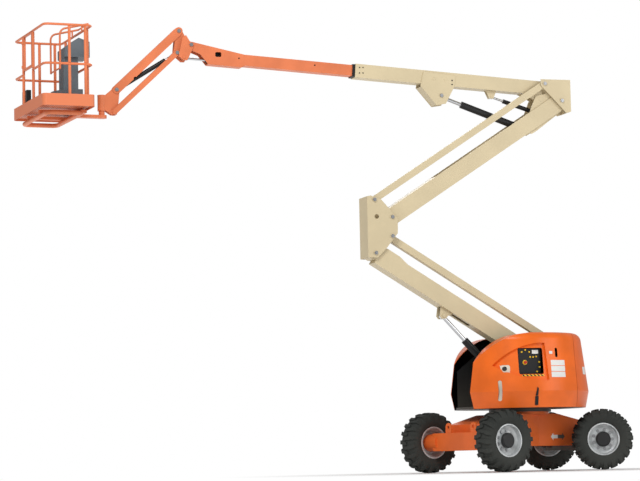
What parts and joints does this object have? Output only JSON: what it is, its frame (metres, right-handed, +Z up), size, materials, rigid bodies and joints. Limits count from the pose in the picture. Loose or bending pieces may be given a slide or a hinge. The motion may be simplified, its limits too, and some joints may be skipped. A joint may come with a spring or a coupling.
{
  "type": "telescopic boom lift",
  "caption": "Self-propelled boom lift: wheeled chassis, swing turntable with hoods, two-stage folding tower, telescoping upper boom, jib and basket platform.",
  "frame": {"origin": "centre of the bounding box on the ground", "axes": "+Z up, -X toward the basket end of the boom, -Y the near side of the picture"},
  "size_m": [8.3651, 2.6468, 6.0618],
  "materials": {
    "black_plastic": "matte",
    "chrome": "polished",
    "cream": "satin",
    "dark": "satin",
    "grey": "matte",
    "hood": "satin",
    "iron": "matte",
    "orange": "satin",
    "rim": "satin",
    "rubber": "matte"
  },
  "bodies": {
    "chassis": {"chassis_frame": "orange", "swing_bearing": "dark", "fixed_axle": "orange", "steer_axle": "dark"},
    "knuckle_near": {"knuckle_steer_near": "dark"},
    "knuckle_far": {"knuckle_steer_far": "dark"},
    "tie_rod": {"tie_rod": "dark"},
    "turntable": {"turntable_frame": "dark", "counterweight": "orange", "engine_block": "iron", "control_box": "black_plastic"},
    "hood_near": {"hood_near": "hood"},
    "hood_far": {"hood_far": "hood"},
    "lower_boom": {"lower_boom": "cream"},
    "lower_link": {"lower_link": "cream"},
    "mid_knuckle": {"mid_knuckle": "cream"},
    "mid_boom": {"mid_boom": "cream"},
    "upper_link": {"upper_link": "cream"},
    "top_knuckle": {"top_knuckle": "cream"},
    "base_boom": {"base_boom": "cream", "boom_collar": "black_plastic"},
    "fly_boom": {"fly_boom": "orange", "slave_barrel": "dark"},
    "slave_rod": {"slave_rod": "chrome"},
    "nose_bracket": {"nose_bracket": "orange"},
    "jib_arm": {"jib_arm": "orange"},
    "jib_link": {"jib_link": "orange"},
    "jib_end": {"jib_end": "orange"},
    "platform": {"platform_floor": "orange", "platform_mount": "orange", "platform_rails": "orange", "console": "grey", "document_box": "black_plastic", "console_guard": "orange"},
    "gate": {"gate": "orange"},
    "tower_barrel": {"tower_barrel": "dark"},
    "tower_rod": {"tower_rod": "chrome"},
    "lift_barrel": {"lift_barrel": "dark"},
    "lift_rod": {"lift_rod": "chrome"},
    "master_barrel": {"master_barrel": "dark"},
    "master_rod": {"master_rod": "chrome"},
    "jib_barrel": {"jib_barrel": "dark"},
    "jib_rod": {"jib_rod": "chrome"},
    "wheel_fixed_near": {"tyre_fixed_near": "rubber", "rim_fixed_near": "rim"},
    "wheel_fixed_far": {"tyre_fixed_far": "rubber", "rim_fixed_far": "rim"},
    "wheel_steer_near": {"tyre_steer_near": "rubber", "rim_steer_near": "rim"},
    "wheel_steer_far": {"tyre_steer_far": "rubber", "rim_steer_far": "rim"}
  },
  "joints": [
    {"name": "swing", "type": "hinge", "parent": "chassis", "child": "turntable", "pos_m": [2.73766, 0.0057, 0.862], "axis": [0, 0, 1], "range_deg": [-159.5, 195.5]},
    {"name": "tower_lift", "type": "hinge", "parent": "turntable", "child": "lower_boom", "pos_m": [3.22743, 0.0057, 1.41184], "axis": [0, 1, 0], "range_deg": [-29, 38]},
    {"name": "lower_link_pivot", "type": "hinge", "parent": "turntable", "child": "lower_link", "pos_m": [3.47243, 0.0057, 1.64484], "axis": [0, 1, 0], "range_deg": [-29.5, 38.5]},
    {"name": "mid_knuckle_pivot", "type": "hinge", "parent": "lower_boom", "child": "mid_knuckle", "pos_m": [0.62967, 0.0057, 3.01], "axis": [0, 1, 0], "range_deg": [-38.5, 29.5]},
    {"name": "mid_boom_pivot", "type": "hinge", "parent": "mid_knuckle", "child": "mid_boom", "pos_m": [0.87667, 0.0057, 3.506], "axis": [0, 1, 0], "range_deg": [-38.5, 29.5]},
    {"name": "upper_link_pivot", "type": "hinge", "parent": "mid_knuckle", "child": "upper_link", "pos_m": [0.62467, 0.0057, 3.742], "axis": [0, 1, 0], "range_deg": [-38.5, 29.5]},
    {"name": "top_knuckle_pivot", "type": "hinge", "parent": "mid_boom", "child": "top_knuckle", "pos_m": [3.43171, 0.0057, 5.17161], "axis": [0, 1, 0], "range_deg": [-29.5, 38.5]},
    {"name": "boom_lift", "type": "hinge", "parent": "top_knuckle", "child": "base_boom", "pos_m": [3.13471, 0.0057, 5.19361], "axis": [0, -1, 0], "range_deg": [-71.3, 11.7]},
    {"name": "telescope", "type": "slide", "parent": "base_boom", "child": "fly_boom", "axis": [-0.9979, 0, 0.0645], "range_m": [-1.5, 0]},
    {"name": "nose_bracket_pivot", "type": "hinge", "parent": "fly_boom", "child": "nose_bracket", "pos_m": [-1.89834, 0.0057, 5.822], "axis": [0, -1, 0], "range_deg": [-12.2, 71.8]},
    {"name": "jib_lift", "type": "hinge", "parent": "nose_bracket", "child": "jib_arm", "pos_m": [-2.05633, 0.0057, 6.01], "axis": [0, 1, 0], "range_deg": [-17, 127]},
    {"name": "jib_link_pivot", "type": "hinge", "parent": "nose_bracket", "child": "jib_link", "pos_m": [-2.08833, 0.0057, 5.71], "axis": [0, 1, 0], "range_deg": [-17.5, 127.5]},
    {"name": "jib_end_pivot", "type": "hinge", "parent": "jib_arm", "child": "jib_end", "pos_m": [-2.92134, 0.0057, 5.19], "axis": [0, 1, 0], "range_deg": [-127.5, 17.5]},
    {"name": "platform_rotate", "type": "hinge", "parent": "jib_end", "child": "platform", "pos_m": [-3.11834, 0.0057, 4.903], "axis": [0, 0, 1], "range_deg": [-94.6, 85.4]},
    {"name": "gate_hinge", "type": "hinge", "parent": "platform", "child": "gate", "pos_m": [-4.12004, 0.23611, 5.912], "axis": [0, 0, 1], "range_deg": [0, 60]},
    {"name": "hood_near_hinge", "type": "hinge", "parent": "turntable", "child": "hood_near", "pos_m": [2.73766, -0.3823, 1.868], "axis": [-1, 0, 0], "range_deg": [0, 65]},
    {"name": "hood_far_hinge", "type": "hinge", "parent": "turntable", "child": "hood_far", "pos_m": [2.73766, 0.3937, 1.868], "axis": [1, 0, 0], "range_deg": [0, 65]},
    {"name": "steer", "type": "hinge", "parent": "chassis", "child": "knuckle_near", "pos_m": [3.82872, -0.19707, 0.419], "axis": [0, 0, 1], "range_deg": [-5, 71]},
    {"name": "steer_far", "type": "hinge", "parent": "chassis", "child": "knuckle_far", "pos_m": [3.50117, 0.81105, 0.419], "axis": [0, 0, 1], "range_deg": [-5.5, 71.5]},
    {"name": "tie_rod_pivot", "type": "hinge", "parent": "knuckle_near", "child": "tie_rod", "pos_m": [4.01225, -0.24624, 0.33], "axis": [0, 0, 1], "range_deg": [-71.5, 5.5]},
    {"name": "wheel_fixed_near_spin", "type": "hinge", "parent": "chassis", "child": "wheel_fixed_near", "pos_m": [2.06378, -1.07546, 0.419], "axis": [0.309, -0.9511, 0], "continuous": true},
    {"name": "wheel_fixed_far_spin", "type": "hinge", "parent": "chassis", "child": "wheel_fixed_far", "pos_m": [1.55699, 0.48428, 0.419], "axis": [-0.309, 0.9511, 0], "continuous": true},
    {"name": "wheel_steer_near_spin", "type": "hinge", "parent": "knuckle_near", "child": "wheel_steer_near", "pos_m": [3.75367, -0.47719, 0.419], "axis": [-0.2588, -0.9659, 0], "continuous": true},
    {"name": "wheel_steer_far_spin", "type": "hinge", "parent": "knuckle_far", "child": "wheel_steer_far", "pos_m": [3.57622, 1.09117, 0.419], "axis": [0.2588, 0.9659, 0], "continuous": true},
    {"name": "tower_barrel_pivot", "type": "hinge", "parent": "turntable", "child": "tower_barrel", "pos_m": [2.63767, 0.0057, 1.085], "axis": [0, 1, 0], "range_deg": [-31.58, 41.23]},
    {"name": "tower_rod_slide", "type": "slide", "parent": "tower_barrel", "child": "tower_rod", "axis": [-0.6852, 0, 0.7283], "range_m": [-0.3299, 0.4307]},
    {"name": "lift_barrel_pivot", "type": "hinge", "parent": "top_knuckle", "child": "lift_barrel", "pos_m": [2.95271, 0.0057, 4.76461], "axis": [0, 1, 0], "range_deg": [-11.04, 64.76]},
    {"name": "lift_rod_slide", "type": "slide", "parent": "lift_barrel", "child": "lift_rod", "axis": [-0.9432, 0, 0.3322], "range_m": [-0.0903, 0.5249]},
    {"name": "master_barrel_pivot", "type": "hinge", "parent": "top_knuckle", "child": "master_barrel", "pos_m": [3.06771, 0.0057, 5.02761], "axis": [0, 1, 0], "range_deg": [-11.29, 66.26]},
    {"name": "master_rod_slide", "type": "slide", "parent": "master_barrel", "child": "master_rod", "axis": [-0.9548, 0, 0.2973], "range_m": [-0.0378, 0.2052]},
    {"name": "jib_barrel_pivot", "type": "hinge", "parent": "jib_arm", "child": "jib_barrel", "pos_m": [-2.92134, 0.0057, 5.19], "axis": [0, 1, 0], "range_deg": [-3.97, 0.96]},
    {"name": "jib_rod_slide", "type": "slide", "parent": "jib_barrel", "child": "jib_rod", "axis": [0.8483, 0, 0.5295], "range_m": [-0.0816, 0.5774]},
    {"name": "slave_rod_slide", "type": "slide", "parent": "fly_boom", "child": "slave_rod", "axis": [0.9984, 0, -0.0574], "range_m": [-0.0437, 0.2409]}
  ],
  "couplings": [
    {"joint": "lower_link_pivot", "follows": "tower_lift", "ratio": 1},
    {"joint": "mid_knuckle_pivot", "follows": "tower_lift", "ratio": -1},
    {"joint": "mid_boom_pivot", "follows": "tower_lift", "ratio": -1},
    {"joint": "upper_link_pivot", "follows": "tower_lift", "ratio": -1},
    {"joint": "top_knuckle_pivot", "follows": "tower_lift", "ratio": 1},
    {"joint": "nose_bracket_pivot", "follows": "boom_lift", "ratio": -1},
    {"joint": "jib_link_pivot", "follows": "jib_lift", "ratio": 1},
    {"joint": "jib_end_pivot", "follows": "jib_lift", "ratio": -1},
    {"joint": "steer_far", "follows": "steer", "ratio": 1},
    {"joint": "tie_rod_pivot", "follows": "steer", "ratio": -1},
    {"joint": "tower_barrel_pivot", "follows": "tower_lift", "ratio": 1.0719},
    {"joint": "tower_rod_slide", "follows": "tower_lift", "m_per_rad": 0.64187},
    {"joint": "lift_barrel_pivot", "follows": "boom_lift", "ratio": -0.90122},
    {"joint": "lift_rod_slide", "follows": "boom_lift", "m_per_rad": -0.4178},
    {"joint": "master_barrel_pivot", "follows": "boom_lift", "ratio": -0.92225},
    {"joint": "master_rod_slide", "follows": "boom_lift", "m_per_rad": -0.16086},
    {"joint": "jib_barrel_pivot", "follows": "jib_lift", "ratio": -0.02729},
    {"joint": "jib_rod_slide", "follows": "jib_lift", "m_per_rad": 0.25823},
    {"joint": "slave_rod_slide", "follows": "boom_lift", "m_per_rad": -0.1896}
  ]
}
